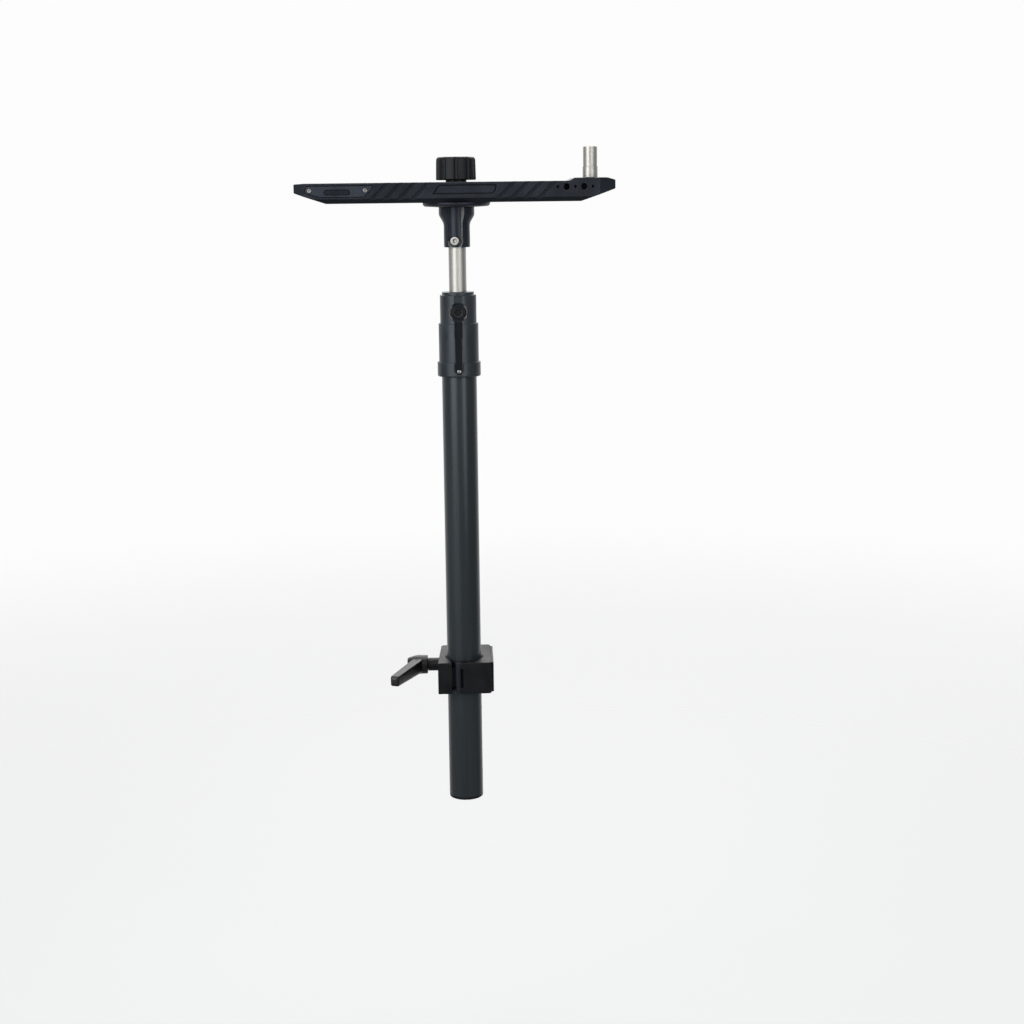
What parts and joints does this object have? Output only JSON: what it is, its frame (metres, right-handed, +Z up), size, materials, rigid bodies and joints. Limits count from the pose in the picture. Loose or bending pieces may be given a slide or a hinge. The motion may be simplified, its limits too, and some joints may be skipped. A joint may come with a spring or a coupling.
{
  "type": "stabilizer docking stand",
  "caption": "Film grip docking stand for a camera stabilizer: forked arm with balance stud on a swivel disc, spigot and pole held in a hinged side clamp with an indexing lever.",
  "frame": {"origin": "centre of the pole's clamp on its mounting face, level with the pole's axis", "axes": "+Z up along the pole, +X out of the mounting face, -Y towards the clamp mouth"},
  "size_m": [0.2872, 0.0746, 0.61],
  "materials": {
    "black_anodised": "black anodised, fine satin grain",
    "black_casting": "black powder coat, satin",
    "tube_black": "dark teal-black, satin anodised",
    "bright_steel": "turned stainless, polished",
    "black_steel": "black oxide, oiled",
    "black_plastic": "moulded, matt",
    "nylon": "moulded nylon",
    "brass": "turned",
    "spring_steel": "drawn wire"
  },
  "bodies": {
    "clamp": {"clamp_body": "black_anodised", "back_plate": "black_steel", "plate_screw_front": "black_steel", "plate_screw_rear": "black_steel", "hinge_pin": "bright_steel", "body_liner": "nylon"},
    "jaw": {"clamp_jaw": "black_anodised", "jaw_liner": "nylon"},
    "lever_seat": {"lever_washer": "black_steel"},
    "lever_shaft": {"lever_stud": "black_steel", "lever_screw": "black_steel", "lever_spring": "spring_steel"},
    "lever_grip": {"lever_handle": "black_steel"},
    "pole": {"pole_tube": "tube_black", "tube_plug": "black_plastic", "pole_head": "black_casting", "head_pin": "bright_steel"},
    "head_lock": {"head_screw": "black_steel"},
    "pin": {"spigot": "bright_steel"},
    "dock_socket": {"receiver": "black_casting", "swivel_disc": "black_anodised", "friction_ring": "nylon", "disc_screw_1": "black_steel", "disc_screw_2": "black_steel", "disc_screw_3": "black_steel", "arm_stud": "bright_steel"},
    "socket_lock": {"receiver_screw": "bright_steel"},
    "arm": {"docking_arm": "black_anodised", "badge_plate": "black_anodised", "badge_screw_left": "bright_steel", "badge_screw_right": "bright_steel", "balance_stud": "bright_steel"},
    "knob_seat": {"knob_washer": "black_steel"},
    "knob": {"clamp_knob": "black_plastic", "knob_insert": "brass"}
  },
  "joints": [
    {"name": "jaw_open", "type": "hinge", "parent": "clamp", "child": "jaw", "pos_m": [-0.0331, -0.0216, 0], "axis": [0, 0, 1], "range_deg": [0, 1.85]},
    {"name": "lever_travel", "type": "slide", "parent": "clamp", "child": "lever_seat", "axis": [-1, 0, 0], "range_m": [0, 0.00187]},
    {"name": "lever_turn", "type": "hinge", "parent": "lever_seat", "child": "lever_shaft", "pos_m": [-0.0275, 0.0285, 0], "axis": [-1, 0, 0], "range_deg": [0, 540]},
    {"name": "lever_lift", "type": "slide", "parent": "lever_shaft", "child": "lever_grip", "axis": [-1, 0, 0], "range_m": [0, 0.005], "stiffness_N_per_m": 400, "springref_m": -0.003, "deforming": ["lever_spring"]},
    {"name": "pole_slide", "type": "slide", "parent": "clamp", "child": "pole", "axis": [0, 0, 1], "range_m": [-0.255, 0.085]},
    {"name": "head_screw_turn", "type": "hinge", "parent": "pole", "child": "head_lock", "pos_m": [-0.0275, 0, 0.3406], "axis": [0, -1, 0], "range_deg": [0, 360]},
    {"name": "spigot_slide", "type": "slide", "parent": "pole", "child": "pin", "axis": [0, 0, 1], "range_m": [-0.0395, 0.025]},
    {"name": "receiver_turn", "type": "hinge", "parent": "pin", "child": "dock_socket", "pos_m": [-0.0275, 0, 0.3989], "axis": [0, 0, 1], "continuous": true},
    {"name": "receiver_screw_turn", "type": "hinge", "parent": "dock_socket", "child": "socket_lock", "pos_m": [-0.0275, 0, 0.4047], "axis": [-0.1736, -0.9848, 0], "range_deg": [0, 360]},
    {"name": "arm_swivel", "type": "hinge", "parent": "dock_socket", "child": "arm", "pos_m": [-0.0275, 0, 0.439], "axis": [0, 0, 1], "continuous": true},
    {"name": "knob_rise", "type": "slide", "parent": "dock_socket", "child": "knob_seat", "axis": [0, 0, 1], "range_m": [0, 0.003]},
    {"name": "knob_turn", "type": "hinge", "parent": "knob_seat", "child": "knob", "pos_m": [-0.0275, 0, 0.4588], "axis": [0, 0, 1], "range_deg": [0, 720]}
  ],
  "couplings": [
    {"joint": "lever_travel", "follows": "lever_turn", "m_per_rad": 0.00019894},
    {"joint": "jaw_open", "follows": "lever_turn", "ratio": 0.0034259},
    {"joint": "knob_turn", "follows": "knob_rise", "rad_per_m": 4188.7}
  ]
}
